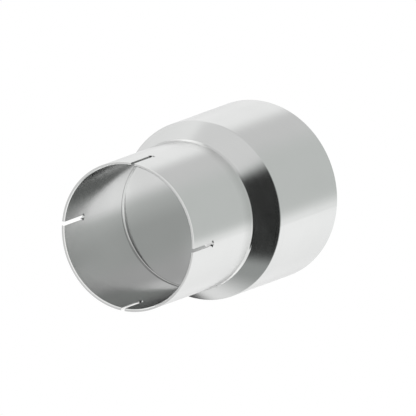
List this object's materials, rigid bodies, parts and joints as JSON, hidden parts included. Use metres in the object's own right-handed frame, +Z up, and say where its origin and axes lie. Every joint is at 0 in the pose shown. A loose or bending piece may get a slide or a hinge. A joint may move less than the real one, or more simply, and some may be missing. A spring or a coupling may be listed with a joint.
{
  "type": "exhaust pipe adapter",
  "caption": "Stepped round exhaust pipe adapter: a slotted clamp-on socket for a narrow pipe, a short cone and a wider plain sleeve, made of thin satin steel.",
  "frame": {"origin": "middle of the sleeve's open rim, on which the adapter stands", "axes": "+Z up the pipe axis from the sleeve to the slotted mouth, +X through the middle of one slot"},
  "size_m": [0.1584, 0.1584, 0.225],
  "materials": {
    "socket_steel": "satin",
    "reducer_steel": "satin",
    "weld_metal": "satin"
  },
  "bodies": {
    "root": {"slotted_socket": "socket_steel", "reducer": "reducer_steel", "weld_bead": "weld_metal"}
  },
  "joints": []
}
